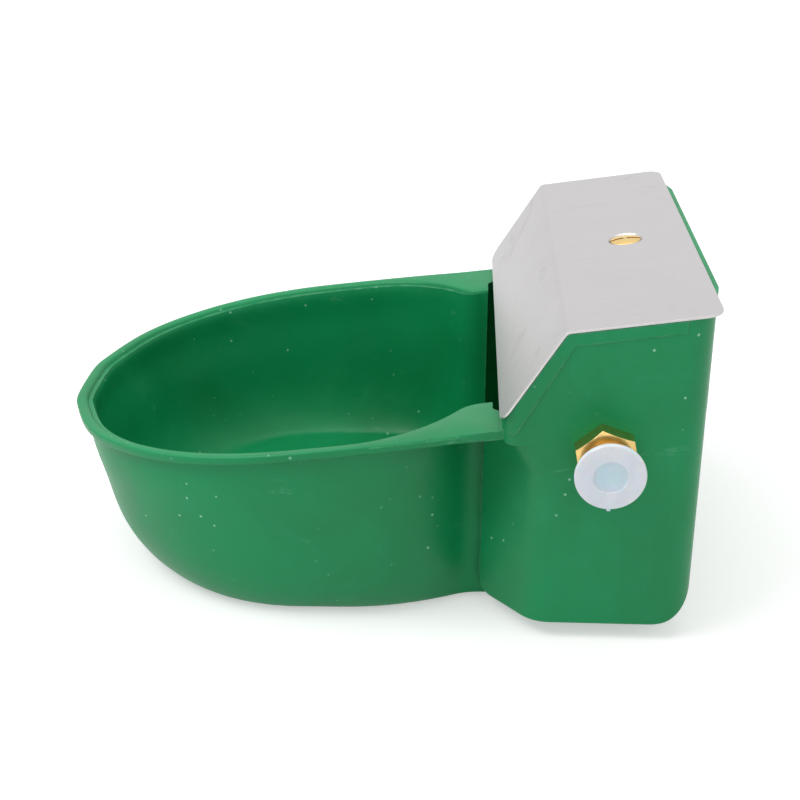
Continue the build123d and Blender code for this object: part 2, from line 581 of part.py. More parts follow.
def outlet_spout():
    """Plastic tube that leads the water down beside the float, cut off at a slant."""
    top = VALVE_Z - BARREL_RADIUS
    low = top - SPOUT_LENGTH
    spout = rod_along_z(SPOUT_X, VALVE_Y, low, top, SPOUT_RADIUS - FIT)
    spout += rod_along_z(SPOUT_X, VALVE_Y, low, top - SPOUT_SOCKET - FIT, SPOUT_RADIUS + SPOUT_COLLAR)
    spout -= rod_along_z(SPOUT_X, VALVE_Y, low - 1, top + 1, SPOUT_RADIUS - SPOUT_WALL)
    wedge = Pos(SPOUT_X, VALVE_Y, low) * Rot(0, SPOUT_SLANT, 0) * Box(
        2 * SPOUT_LENGTH, 2 * SPOUT_LENGTH, SPOUT_LENGTH / 4)
    return spout - wedge


def inlet_locknut():
    """Hexagon nut that clamps the valve body to the side wall, chamfered on its outer face."""
    start = HALF_WIDTH
    plane = Plane(origin=(start, VALVE_Y, VALVE_Z), x_dir=(0, 1, 0), z_dir=(1, 0, 0))
    across_corners = NUT_ACROSS_FLATS / math.cos(math.radians(30))
    blank = extrude(plane * Rot(0, 0, 90 + NUT_TURN) * RegularPolygon(across_corners / 2, 6), NUT_THICKNESS)
    bevel_depth = (across_corners - NUT_ACROSS_FLATS) / 2
    cone = Cone(across_corners / 2 + bevel_depth * 3, across_corners / 2 - bevel_depth, bevel_depth * 2.3)
    trim = plane * Pos(0, 0, NUT_THICKNESS - bevel_depth * 1.15) * cone
    trim += rod_along_x(start - 1, start + NUT_THICKNESS - bevel_depth * 2, across_corners)
    return (blank & trim) - rod_along_x(start - 1, start + 2 * NUT_THICKNESS, THREAD_RADIUS + FIT)


def wall_seal():
    """Rubber washer between the flange of the valve body and the side wall."""
    start = INNER_HALF_WIDTH - SEAL_THICKNESS
    ring = rod_along_x(start, INNER_HALF_WIDTH, FLANGE_RADIUS - 0.5)
    return ring - rod_along_x(start - 1, INNER_HALF_WIDTH + 1, THREAD_RADIUS + FIT)


def inlet_plug():
    """Dust plug: wide thin flange and a hollow stem pushed into the inlet bore."""
    face_x = HALF_WIDTH + THREAD_REACH
    plug = rod_along_x(face_x, face_x + PLUG_FLANGE, PLUG_RADIUS)
    plug = fillet(plug.edges().filter_by(GeomType.CIRCLE), PLUG_FLANGE * 0.4)
    stem_radius = THREAD_BORE_RADIUS - RUNNING_FIT
    plug += rod_along_x(face_x - PLUG_STEM_LENGTH, face_x + PLUG_FLANGE / 2, stem_radius)
    hollow_x = face_x - PLUG_STEM_LENGTH + PLUG_WALL
    plug -= rod_along_x(hollow_x, face_x + 2 * PLUG_FLANGE, stem_radius - PLUG_WALL)
    nib = Pos(face_x + PLUG_FLANGE / 2, VALVE_Y, VALVE_Z - PLUG_RADIUS) * Box(*NIB)
    return plug + nib


def inlet_strainer():
    """Moulded strainer basket that sits in the inlet bore in front of the nozzle."""
    radius = THREAD_BORE_RADIUS - BORE_STEP - FIT
    start = NOZZLE_X + 2 * STRAINER_WALL
    end = NOZZLE_X + STRAINER_LENGTH
    cup = rod_along_x(start, end, radius - STRAINER_WALL)
    cup += rod_along_x(end - 2 * STRAINER_WALL, end, radius)
    cup -= rod_along_x(start + STRAINER_WALL, end + STRAINER_WALL, radius - 2 * STRAINER_WALL)
    middle = (NOZZLE_X + STRAINER_LENGTH / 2, VALVE_Y, VALVE_Z)
    slot = Box(STRAINER_LENGTH - STRAINER_ENDS, STRAINER_SLOT, 4 * radius)
    for angle in (0, 45, 90, 135):
        cup -= Location(middle, (angle, 0, 0)) * slot
    return cup


def valve_nozzle():
    """Nozzle pressed into the barrel, with the raised seat that the rubber closes on."""
    radius = BARREL_BORE_RADIUS - FIT
    seat_x = NOZZLE_X - NOZZLE_LENGTH
    nozzle = rod_along_x(NOZZLE_X - NOZZLE_FLANGE, NOZZLE_X, radius)
    nozzle += rod_along_x(seat_x, NOZZLE_X, NOZZLE_BORE_RADIUS + NOZZLE_WALL)
    nozzle = chamfer(nozzle.edges().filter_by(GeomType.CIRCLE).sort_by(Axis.X)[0], NOZZLE_BEVEL)
    return nozzle - rod_along_x(seat_x - 1, NOZZLE_X + 1, NOZZLE_BORE_RADIUS)


def piston_travel():
    """Stroke of the piston over the lever's swing."""
    return math.radians(LEVER_SWING) * PIVOT_DROP


def open_piston_face():
    """X of the piston's front with the valve open."""
    return NOZZLE_X - NOZZLE_LENGTH - piston_travel() - SEAT_SQUEEZE


def valve_piston():
    """Piston with a cup for the rubber in front and a cross slot for the lever's heel."""
    front = open_piston_face()
    radius = BARREL_BORE_RADIUS - RUNNING_FIT
    piston = rod_along_x(front - PISTON_LENGTH, front, radius)
    piston -= rod_along_x(front - PISTON_SEAL_THICKNESS, front + 1, PISTON_SEAL_RADIUS)
    heel_x = PIVOT_X - piston_travel() / 2
    gap = HEEL_RADIUS + SIDE_PLAY
    notch = Pos(heel_x, VALVE_Y, VALVE_Z - BARREL_BORE_RADIUS / 2 + 2) * Box(
        2 * gap, 2 * BARREL_BORE_RADIUS, BARREL_BORE_RADIUS + 4)
    for side in (-1, 1):
        flute_y = VALVE_Y + side * BARREL_BORE_RADIUS
        piston -= rod_along_x(front - 2 * PISTON_LENGTH, front + 1, PISTON_FLUTE_RADIUS, flute_y, VALVE_Z)
    return piston - notch


def piston_seal():
    """Rubber disc in the piston's cup."""
    front = open_piston_face()
    return rod_along_x(front - PISTON_SEAL_THICKNESS + FIT, front, PISTON_SEAL_RADIUS - FIT)


def valve_end_cap():
    """Cap that closes the open end of the barrel, with two flats for a spanner."""
    start = BARREL_END_X
    outer = start - END_CAP_THICKNESS
    cap = rod_along_x(outer, start, BARREL_RADIUS)
    cap = chamfer(cap.edges().filter_by(GeomType.CIRCLE).sort_by(Axis.X)[0], END_CAP_THICKNESS / 5)
    cap += rod_along_x(start - FIT, start + END_CAP_THICKNESS, BARREL_BORE_RADIUS - FIT)
    for side in (-1, 1):
        flat = Box(1.5 * END_CAP_THICKNESS, BARREL_RADIUS / 2, 3 * BARREL_RADIUS)
        cap -= Pos(outer, VALVE_Y + side * 1.125 * BARREL_RADIUS, VALVE_Z) * flat
    return cap - rod_along_x(outer - 1, start + END_CAP_THICKNESS + 1, END_CAP_VENT_RADIUS)


def pin_half_length():
    """Half of the hinge pin between its head and its end."""
    return LEVER_THICKNESS / 2 + SIDE_PLAY + LUG_THICKNESS


def hinge_pin():
    """Headed pin of the lever, drilled for the split pin."""
    reach = pin_half_length()
    pin = rod_along_y(PIVOT_X, PIVOT_Z, VALVE_Y - reach, VALVE_Y + reach + PIN_TAIL, PIVOT_RADIUS)
    pin += rod_along_y(PIVOT_X, PIVOT_Z, VALVE_Y - reach - PIN_HEAD, VALVE_Y - reach, PIVOT_RADIUS * 1.75)
    hole_y = VALVE_Y + reach + SPLIT_PIN_OFFSET
    return pin - rod_along_z(PIVOT_X, hole_y, PIVOT_Z - PIN_TAIL, PIVOT_Z + PIN_TAIL, SPLIT_PIN_RADIUS)


def split_pin():
    """Split pin with its eye above the hinge pin and its legs spread below it."""
    y = VALVE_Y + pin_half_length() + SPLIT_PIN_OFFSET
    radius = SPLIT_PIN_RADIUS - RUNNING_FIT
    shank = 2 * PIVOT_RADIUS
    pin = rod_along_z(PIVOT_X, y, PIVOT_Z - shank, PIVOT_Z + SPLIT_PIN_LEG, radius)
    eye = Torus(SPLIT_PIN_EYE_RADIUS, radius * 0.8)
    pin += Pos(PIVOT_X, y, PIVOT_Z + SPLIT_PIN_LEG + SPLIT_PIN_EYE_RADIUS - 0.2) * Rot(90, 0, 0) * eye
    leg = Pos(0, 0, -SPLIT_PIN_LEG / 2) * Cylinder(radius * 0.75, SPLIT_PIN_LEG)
    for angle in (-SPLIT_PIN_SPREAD, SPLIT_PIN_SPREAD):
        pin += Pos(PIVOT_X, y, PIVOT_Z - shank + radius) * Rot(0, angle, 0) * leg
    return pin


def at_rest(shape):
    """Turns a piece of the float arm from the level position to the emptied one."""
    pivot = Axis((PIVOT_X, VALVE_Y, PIVOT_Z), (0, 1, 0))
    return shape.rotate(pivot, -LEVER_SWING / 2)


def float_x():
    """X of the float rod with the lever level."""
    return PIVOT_X - ARM_LENGTH


def eye_z():
    """Height of the middle of the lever's eye with the lever level."""
    return PIVOT_Z - ARM_DROP


def float_lever():
    """Cast lever: heel in the piston, hub on the pin, arm, and the clamp eye for the rod."""
    half = LEVER_THICKNESS / 2
    lever = rod_along_y(PIVOT_X, PIVOT_Z, VALVE_Y - half, VALVE_Y + half, LUG_RADIUS - 0.5)
    lever += rod_along_y(PIVOT_X, VALVE_Z, VALVE_Y - half, VALVE_Y + half, HEEL_RADIUS)
    lever += Pos(PIVOT_X, VALVE_Y, (PIVOT_Z + VALVE_Z) / 2) * Box(HEEL_NECK, LEVER_THICKNESS, PIVOT_DROP)
    lever += lever_arm()
    low = eye_z() - EYE_HEIGHT / 2
    lever += rod_along_z(float_x(), VALVE_Y, low, low + EYE_HEIGHT, EYE_RADIUS)
    lever -= rod_along_z(float_x(), VALVE_Y, low - 1, low + EYE_HEIGHT + 1, ROD_RADIUS + FIT)
    return lever - pivot_hole(2 * half)


def lever_arm():
    """The lever's arm, set below the barrel and deeper at the hub than at the eye."""
    plane = Plane(origin=(0, VALVE_Y + LEVER_THICKNESS / 2, 0), x_dir=(1, 0, 0), z_dir=(0, -1, 0))
    tip = EYE_HEIGHT / 2 - 1.2
    outline = make_face(Polyline(
        (PIVOT_X, PIVOT_Z), (PIVOT_X - 2 * LUG_RADIUS, eye_z() + tip), (float_x(), eye_z() + tip),
        (float_x(), eye_z() - tip), (PIVOT_X - LUG_RADIUS, eye_z() - tip - 1.5),
        (PIVOT_X, PIVOT_Z - LUG_RADIUS + 0.5), close=True))
    return extrude(plane * outline, LEVER_THICKNESS, dir=(0, -1, 0))


def float_centre_z():
    """Height of the float's middle with the lever level."""
    return PIVOT_Z - FLOAT_CENTRE_DROP


def float_rod():
    """Threaded rod between the lever and the float."""
    low = float_centre_z() - FLOAT_HEIGHT / 2 + FLOAT_WALL + SOCKET_FLOOR
    rod = rod_along_z(float_x(), VALVE_Y, low, low + ROD_LENGTH, ROD_RADIUS)
    return chamfer(rod.edges().filter_by(GeomType.CIRCLE), 0.6)


def rod_nut(start_z):
    """Hexagon nut on the float rod, standing on a height."""
    plane = Plane(origin=(float_x(), VALVE_Y, start_z))
    nut = extrude(plane * RegularPolygon(ROD_NUT_CORNER, 6), ROD_NUT_HEIGHT)
    return nut - rod_along_z(float_x(), VALVE_Y, start_z - 1, start_z + 2 * ROD_NUT_HEIGHT, ROD_RADIUS + FIT)


def float_nuts():
    """The two nuts that set the float's height, above and below the lever's eye."""
    return rod_nut(eye_z() + EYE_HEIGHT / 2) + rod_nut(eye_z() - EYE_HEIGHT / 2 - ROD_NUT_HEIGHT)


def float_block(shrink, z_low, z_high):
    """A block of the float's rounded plan between two heights."""
    plane = Plane(origin=(float_x(), VALVE_Y, z_low))
    plan = RectangleRounded(
        FLOAT_LENGTH - 2 * shrink, FLOAT_WIDTH - 2 * shrink, FLOAT_CORNER_RADIUS - shrink)
    return extrude(plane * plan, z_high - z_low)


def float_shell():
    """Lower half of the float: an open cup with a socket for the end of the rod."""
    low = float_centre_z() - FLOAT_HEIGHT / 2
    split = low + FLOAT_HEIGHT * FLOAT_SPLIT
    shell = float_block(0, low, split)
    shell = fillet(shell.faces().sort_by(Axis.Z)[0].edges(), FLOAT_EDGE_RADIUS)
    shell -= float_block(FLOAT_WALL, low + FLOAT_WALL, split + 1)
    socket = rod_along_z(float_x(), VALVE_Y, low + FLOAT_WALL / 2, low + SOCKET_HEIGHT, ROD_RADIUS + SLEEVE_WALL)
    shell += socket
    end = low + FLOAT_WALL + SOCKET_FLOOR - FIT
    return shell - rod_along_z(float_x(), VALVE_Y, end, low + 2 * SOCKET_HEIGHT, ROD_RADIUS + FIT)


def float_lid():
    """Upper half of the float, welded on, with the sleeve that the rod passes through."""
    low = float_centre_z() - FLOAT_HEIGHT / 2
    split = low + FLOAT_HEIGHT * FLOAT_SPLIT
    top = low + FLOAT_HEIGHT
    lid = float_block(0, split, top)
    lid = fillet(lid.faces().sort_by(Axis.Z)[-1].edges(), FLOAT_EDGE_RADIUS)
    lid -= float_block(FLOAT_WALL, split - 1, top - FLOAT_WALL)
    lid += rod_along_z(float_x(), VALVE_Y, low + SOCKET_HEIGHT, top + SLEEVE_RISE, ROD_RADIUS + SLEEVE_WALL)
    return lid - rod_along_z(float_x(), VALVE_Y, low, top + 2 * SLEEVE_RISE, ROD_RADIUS + FIT)


def build():
    """Writes each piece to its own file."""
    os.makedirs("parts", exist_ok=True)
    pieces = {
        "bowl_body": bowl_body, "cover_plate": cover_plate, "cover_screw": cover_screw,
        "screw_insert": screw_insert, "valve_body": valve_body, "inlet_locknut": inlet_locknut,
        "wall_seal": wall_seal, "inlet_plug": inlet_plug, "inlet_strainer": inlet_strainer,
        "valve_nozzle": valve_nozzle, "valve_piston": valve_piston, "piston_seal": piston_seal,
        "valve_end_cap": valve_end_cap, "outlet_spout": outlet_spout, "hinge_pin": hinge_pin,
        "split_pin": split_pin}
    float_arm = {
        "float_lever": float_lever, "float_rod": float_rod, "float_nuts": float_nuts,
        "float_shell": float_shell, "float_lid": float_lid}
    to_origin = Pos(0, -PAD_THICKNESS, -FIXING_HEIGHT)
    for name, make in pieces.items():
        export_step(to_origin * make(), f"parts/{name}.step")
    for name, make in float_arm.items():
        export_step(to_origin * at_rest(make()), f"parts/{name}.step")


if __name__ == "__main__":
    build()
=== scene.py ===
import bmesh
import bpy
import json
import math
from mathutils import Matrix, Vector


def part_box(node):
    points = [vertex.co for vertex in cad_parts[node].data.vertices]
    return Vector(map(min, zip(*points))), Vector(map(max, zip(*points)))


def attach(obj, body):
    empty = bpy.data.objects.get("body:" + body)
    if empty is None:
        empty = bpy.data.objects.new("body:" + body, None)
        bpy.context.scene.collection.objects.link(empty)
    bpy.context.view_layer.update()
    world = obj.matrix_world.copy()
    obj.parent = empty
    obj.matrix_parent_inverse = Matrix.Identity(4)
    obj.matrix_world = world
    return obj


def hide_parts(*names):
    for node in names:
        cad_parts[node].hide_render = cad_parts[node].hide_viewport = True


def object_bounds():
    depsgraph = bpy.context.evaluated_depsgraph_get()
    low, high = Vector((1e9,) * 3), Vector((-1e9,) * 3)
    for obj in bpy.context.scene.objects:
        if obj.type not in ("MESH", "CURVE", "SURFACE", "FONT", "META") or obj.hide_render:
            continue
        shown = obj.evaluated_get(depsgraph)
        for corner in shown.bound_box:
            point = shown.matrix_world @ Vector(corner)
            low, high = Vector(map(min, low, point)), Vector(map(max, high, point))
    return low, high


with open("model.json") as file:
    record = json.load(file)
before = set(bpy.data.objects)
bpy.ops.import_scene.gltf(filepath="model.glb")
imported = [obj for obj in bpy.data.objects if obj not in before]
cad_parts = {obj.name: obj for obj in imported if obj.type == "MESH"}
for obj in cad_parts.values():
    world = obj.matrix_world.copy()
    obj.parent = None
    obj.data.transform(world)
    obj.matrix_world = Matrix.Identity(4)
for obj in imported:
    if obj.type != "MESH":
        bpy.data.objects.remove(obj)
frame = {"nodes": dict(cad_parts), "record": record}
cad_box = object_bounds()

# Looks of the livestock drinking bowl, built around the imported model. Everything is in metres, in
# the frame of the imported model: the origin lies in the wall plane midway between the two fixing
# holes, +X points to the water inlet, +Y into the wall and +Z up.

MM = 0.001

# ---- camera, floor and light -------------------------------------------------------------
CAMERA_PLACE = (0.69851, -0.12045, 0.25389)
CAMERA_TURN = (65.533, 0.0, 92.523)
CAMERA_LENS = 63.0
CAMERA_SENSOR = 36.0
NEAREST_SEEN = 10 * MM
FLOOR_SIZE = 30.0
FLOOR_GAP = 0.2 * MM
SKY_LIGHT = 0.62
FLOOR_COLOUR = (0.70, 0.70, 0.70, 1)
FLOOR_GLOW = 0.45
LAMPS = (("key", (0.5, -1.2, 1.6), 1.1, 17.0),
         ("fill", (1.5, 0.5, 0.9), 1.4, 3.0),
         ("top", (-0.3, -0.2, 1.8), 1.6, 11.0))
LAMP_AIM = Vector((0, -0.13, -0.03))

# ---- colours -----------------------------------------------------------------------------
GREEN = (0.001, 0.248, 0.082, 1)
GREEN_DEEP = (0.001, 0.196, 0.060, 1)
GREEN_CHALKY = (0.035, 0.350, 0.170, 1)
# pale green for scuffs and nicks, also used as a painted highlight on the edges
GREEN_SCUFF_AND_HIGHLIGHT = (0.300, 0.640, 0.470, 1)
STEEL = (0.560, 0.545, 0.550, 1)
STEEL_SMUDGE = (0.430, 0.425, 0.420, 1)
STEEL_SCRATCH = (0.800, 0.790, 0.790, 1)
BRASS = (0.800, 0.560, 0.210, 1)
BRASS_DULL = (0.520, 0.340, 0.120, 1)
BRASS_BRIGHT = (0.900, 0.740, 0.400, 1)
NATURAL = (0.800, 0.835, 0.900, 1)
NATURAL_CLOUD = (0.700, 0.740, 0.820, 1)
NATURAL_EDGE = (0.930, 0.950, 0.980, 1)
RUBBER = (0.020, 0.020, 0.021, 1)
RUBBER_BLOOM = (0.070, 0.070, 0.072, 1)
OFF_WHITE = (0.780, 0.780, 0.755, 1)
OFF_WHITE_DUST = (0.620, 0.610, 0.560, 1)
BLACK_PLASTIC = (0.022, 0.022, 0.025, 1)
BLACK_RUB = (0.090, 0.090, 0.095, 1)
WIRE = (0.560, 0.560, 0.570, 1)
WIRE_DULL = (0.380, 0.380, 0.390, 1)

# ---- how tool marks are squeezed along each axis ------------------------------------------
MARKS_ALONG_X = (900, 40, 40)
MARKS_ALONG_Z = (40, 40, 900)
MARKS_ALL_WAYS = (120, 120, 120)

# ---- dust plug ---------------------------------------------------------------------------
PLUG_RECESS_RADIUS = 8.0 * MM
PLUG_RECESS_DEPTH = 0.9 * MM
PLUG_RECESS_TAPER = 0.4 * MM
PLUG_WEB_RADIUS = 7.2 * MM
PLUG_WEB = 0.8 * MM
TURNED_SIDES = 96

# ---- inlet thread (G1/2) ------------------------------------------------------------------
THREAD_RADIUS = 10.48 * MM
THREAD_PITCH = 1.814 * MM
THREAD_DEPTH = 1.16 * MM
THREAD_HALF_GROOVE = 0.525 * THREAD_PITCH
THREAD_OVERSHOOT = 0.3 * THREAD_DEPTH
THREAD_RUN_IN = 1.6 * MM
THREAD_END_LAND = 0.2 * MM
STEPS_PER_TURN = 28

# ---- meshes ------------------------------------------------------------------------------
WELD_DISTANCE = 0.001 * MM
CREASE = math.radians(32)
CUTTER_CLEARANCE = 1 * MM
ROUNDING_SAMPLES = 6


class Value:
    """A number that varies over a surface: the output of a node, usable in sums."""

    def __init__(self, skin, socket):
        self.skin = skin
        self.socket = socket

    def maths(self, operation, first, second):
        inputs = {0: first, 1: second}
        return Value(self.skin, self.skin.node("ShaderNodeMath", {"operation": operation}, inputs, 0))

    def __add__(self, other):
        return self.maths("ADD", self, other)

    def __radd__(self, other):
        return self.maths("ADD", other, self)

    def __sub__(self, other):
        return self.maths("SUBTRACT", self, other)

    def __rsub__(self, other):
        return self.maths("SUBTRACT", other, self)

    def __mul__(self, other):
        return self.maths("MULTIPLY", self, other)

    def __rmul__(self, other):
        return self.maths("MULTIPLY", other, self)

    def larger(self, other):
        return self.maths("MAXIMUM", self, other)

    def between(self, low, high):
        """0 at low, 1 at high, with a soft start and end."""
        settings = {"interpolation_type": "SMOOTHSTEP", "clamp": True}
        inputs = {0: self, 1: low, 2: high}
        return Value(self.skin, self.skin.node("ShaderNodeMapRange", settings, inputs, 0))


class Nodes:
    """The nodes of a material or of the world, and the shader that they feed."""

    def __init__(self, owner, shader):
        owner.use_nodes = True
        self.owner = owner
        self.tree = owner.node_tree
        self.shader = self.tree.nodes[shader]

    def node(self, kind, settings, inputs, output=None):
        """Adds a node. Settings go on it first, then values or links go to its sockets."""
        made = self.tree.nodes.new(kind)
        for name, value in settings.items():
            setattr(made, name, value)
        for name, value in inputs.items():
            self.feed(made.inputs[name], value)
        return made.outputs if output is None else made.outputs[output]

    def feed(self, socket, value):
        source = value.socket if isinstance(value, Value) else value
        if isinstance(source, bpy.types.NodeSocket):
            self.tree.links.new(source, socket)
        else:
            socket.default_value = source

    def seen_directly(self):
        """1 where the camera looks straight at it, or sees it in metal or through plastic."""
        rays = self.node("ShaderNodeLightPath", {}, {})
        straight, mirrored, through = [
            Value(self, rays[name]) for name in ("Is Camera Ray", "Is Glossy Ray", "Is Transmission Ray")]
        return straight.larger(mirrored).larger(through)

    def finish(self, **values):
        """Feeds the shader's sockets. Underscores stand for spaces in their names."""
        for name, value in values.items():
            self.feed(self.shader.inputs[name.replace("_", " ")], value)
        return self.owner


class Skin(Nodes):
    """A material, built from patterns laid over the surface point."""

    def __init__(self, name):
        super().__init__(bpy.data.materials.new(name), "Principled BSDF")
        self.point = self.node("ShaderNodeTexCoord", {}, {}, "Object")

    def stretched(self, x, y, z):
        """The surface point, scaled along each axis."""
        inputs = {0: self.point, 1: (x, y, z)}
        return self.node("ShaderNodeVectorMath", {"operation": "MULTIPLY"}, inputs, 0)

    def rounded(self, radius):
        """The surface's direction as if its edges had a small radius."""
        return self.node("ShaderNodeBevel", {"samples": ROUNDING_SAMPLES}, {"Radius": radius}, 0)

    def noise(self, scale, detail=4.0, roughness=0.55, distortion=0.0, point=None):
        """Cloudy noise, from about 0.2 to 0.8."""
        inputs = {"Vector": point or self.point, "Scale": scale, "Detail": detail,
                  "Roughness": roughness, "Distortion": distortion}
        return Value(self, self.node("ShaderNodeTexNoise", {}, inputs, 0))

    def specks(self, scale, size):
        """1 inside small scattered specks."""
        inputs = {"Vector": self.point, "Scale": scale}
        distance = Value(self, self.node("ShaderNodeTexVoronoi", {}, inputs, "Distance"))
        return 1 - distance.between(size * 0.5, size)

    def edges(self, radius):
        """1 on sharp outer and inner edges, 0 on flats."""
        directions = {0: self.rounded(radius), 1: self.node("ShaderNodeNewGeometry", {}, {}, "Normal")}
        likeness = self.node("ShaderNodeVectorMath", {"operation": "DOT_PRODUCT"}, directions, "Value")
        return (1 - Value(self, likeness)).between(0.01, 0.2)

    def mixed(self, first, second, share):
        """First colour, turning into the second by a share."""
        inputs = {"Factor": share, 6: first, 7: second}
        return self.node("ShaderNodeMix", {"data_type": "RGBA"}, inputs, 2)

    def relief(self, height, distance, rounding, strength=0.5):
        """Bump from a height, laid over softly rounded edges."""
        inputs = {"Height": height, "Distance": distance, "Strength": strength,
                  "Normal": self.rounded(rounding)}
        self.feed(self.shader.inputs["Normal"], self.node("ShaderNodeBump", {}, inputs, 0))


# ---- finishes ----------------------------------------------------------------------------
def green_moulding():
    """Moulded green plastic: mottled, chalky in places, with scuffs and nicks, and pale edges that are
    partly rubbed wear and partly a painted highlight.
    """
    skin = Skin("green_plastic")
    cloud = skin.noise(9, detail=5, distortion=0.4)
    mottle = skin.noise(60, detail=6, roughness=0.6)
    chalk = skin.noise(22, detail=7, roughness=0.68, distortion=0.8).between(0.52, 0.78)
    rubbed = skin.noise(3, detail=8, roughness=0.7, point=skin.stretched(40, 9, 25)).between(0.63, 0.72)
    nicks = skin.specks(110, 0.10) * skin.noise(14, detail=2).between(0.46, 0.6)
    # pale edges: partly rubbed wear, partly a painted highlight that lightens the rim and other edges
    edge = skin.edges(1.3 * MM) * skin.noise(150, detail=5).between(0.3, 0.7)
    colour = skin.mixed(GREEN_DEEP, GREEN, cloud.between(0.3, 0.62))
    colour = skin.mixed(colour, GREEN_CHALKY, chalk * 0.22 + mottle.between(0.5, 0.8) * 0.05)
    # the pale green marks real wear on rubbed patches and nicks, and is a painted highlight on the edges
    colour = skin.mixed(colour, GREEN_SCUFF_AND_HIGHLIGHT, (rubbed * 0.16 + nicks * 0.8).larger(edge * 0.42))
    gloss = 0.36 + 0.12 * cloud + 0.16 * chalk + 0.14 * rubbed
    ripple = skin.noise(28, detail=3) * 0.6 + mottle * 0.12
    grain = skin.noise(1400, detail=2) * 0.02
    skin.relief(ripple + grain - nicks * 0.1, 1.1 * MM, rounding=0.6 * MM, strength=0.55)
    return skin.finish(Base_Color=colour, Roughness=gloss, IOR=1.5, Specular_IOR_Level=0.32)


def rolled_steel():
    """Mill-finished stainless sheet: fine rolling lines along X, smudges, scratches and pits."""
    skin = Skin("stainless_sheet")
    brushed = skin.noise(3, detail=9, roughness=0.75, point=skin.stretched(4, 420, 420))
    cloud = skin.noise(14, detail=4, distortion=0.6)
    smudge = skin.noise(26, detail=5, roughness=0.6, distortion=1.6).between(0.56, 0.74)
    scratch = skin.noise(2, detail=6, roughness=0.8, point=skin.stretched(160, 14, 30)).between(0.66, 0.70)
    pits = skin.specks(120, 0.06) * skin.noise(18, detail=2).between(0.52, 0.6)
    edge = skin.edges(0.5 * MM)
    colour = skin.mixed(STEEL, STEEL_SMUDGE, smudge * 0.32 + cloud.between(0.45, 0.75) * 0.16 + pits * 0.4)
    colour = skin.mixed(colour, STEEL_SCRATCH, (scratch * 0.22).larger(edge * 0.5))
    gloss = 0.30 + 0.10 * brushed + 0.12 * smudge + 0.06 * cloud - 0.08 * scratch
    skin.relief(brushed * 0.35 + cloud * 0.9 - pits * 0.3, 0.16 * MM, rounding=0.25 * MM)
    return skin.finish(Base_Color=colour, Roughness=gloss, Metallic=1.0)


def brass_finish(name, tool_marks, dullness, grain):
    """Brass with tool marks across the turning axis, dull patches and bright edges."""
    skin = Skin(name)
    tarnish = skin.noise(70, detail=6, roughness=0.65, distortion=0.7).between(0.42, 0.72)
    marks = skin.noise(2, detail=4, roughness=0.6, point=skin.stretched(*tool_marks))
    edge = skin.edges(0.5 * MM)
    colour = skin.mixed(BRASS, BRASS_DULL, tarnish * dullness)
    colour = skin.mixed(colour, BRASS_BRIGHT, (marks.between(0.5, 0.8) * 0.25).larger(edge * 0.6))
    gloss = 0.20 + 0.14 * tarnish + 0.10 * marks + grain
    skin.relief(marks * 0.5 + skin.noise(700, detail=3) * grain * 4, 0.10 * MM, rounding=0.3 * MM)
    return skin.finish(Base_Color=colour, Roughness=gloss, Metallic=1.0)


def natural_plug():
    """Uncoloured plastic, slightly see-through and clouded, with paler edges."""
    skin = Skin("natural_plastic")
    cloud = skin.noise(90, detail=5, distortion=0.8).between(0.35, 0.7)
    edge = skin.edges(0.6 * MM)
    colour = skin.mixed(NATURAL, NATURAL_CLOUD, cloud * 0.45)
    colour = skin.mixed(colour, NATURAL_EDGE, edge * 0.6)
    skin.relief(skin.noise(320, detail=4) * 0.6 + cloud * 0.4, 0.12 * MM, rounding=0.4 * MM)
    return skin.finish(Base_Color=colour, Roughness=0.30 + 0.12 * cloud, IOR=1.5, Transmission_Weight=0.08,
                       Subsurface_Weight=0.6, Subsurface_Scale=0.006)


def plain_plastic(name, colour, worn, gloss):
    """Small moulded pieces: mottled, paler where rubbed, with faint grain."""
    skin = Skin(name)
    mottle = skin.noise(120, detail=6, roughness=0.6, distortion=0.3).between(0.4, 0.75)
    rub = skin.edges(0.6 * MM) * skin.noise(260, detail=3).between(0.3, 0.7)
    tint = skin.mixed(colour, worn, (mottle * 0.35).larger(rub * 0.7))
    skin.relief(skin.noise(900, detail=3) * 0.5 + mottle * 0.5, 0.08 * MM, rounding=0.3 * MM)
    return skin.finish(Base_Color=tint, Roughness=gloss + 0.15 * mottle, IOR=1.48)


def drawn_wire():
    """Drawn stainless wire with dull patches."""
    skin = Skin("stainless_wire")
    marks = skin.noise(2, detail=5, point=skin.stretched(900, 60, 900))
    dull = skin.noise(150, detail=4).between(0.4, 0.7)
    colour = skin.mixed(WIRE, WIRE_DULL, dull * 0.5)
    skin.relief(marks, 0.05 * MM, rounding=0.2 * MM)
    return skin.finish(Base_Color=colour, Roughness=0.25 + 0.2 * dull, Metallic=1.0)


# ---- shapes ------------------------------------------------------------------------------
def shown(obj):
    """Puts an object in the scene."""
    bpy.context.scene.collection.objects.link(obj)
    return obj


def welded(obj):
    """Joins the CAD mesh's faces at their shared corners."""
    obj.modifiers.new("weld", "WELD").merge_threshold = WELD_DISTANCE


def finished(obj, material):
    """Gives a piece its finish, and shades it smooth apart from its creases."""
    obj.data.materials.clear()
    obj.data.materials.append(material)
    welded(obj)
    obj.modifiers.new("crease", "EDGE_SPLIT").split_angle = CREASE
    for face in obj.data.polygons:
        face.use_smooth = True
    if obj.data.has_custom_normals:
        obj.data.attributes.remove(obj.data.attributes["custom_normal"])


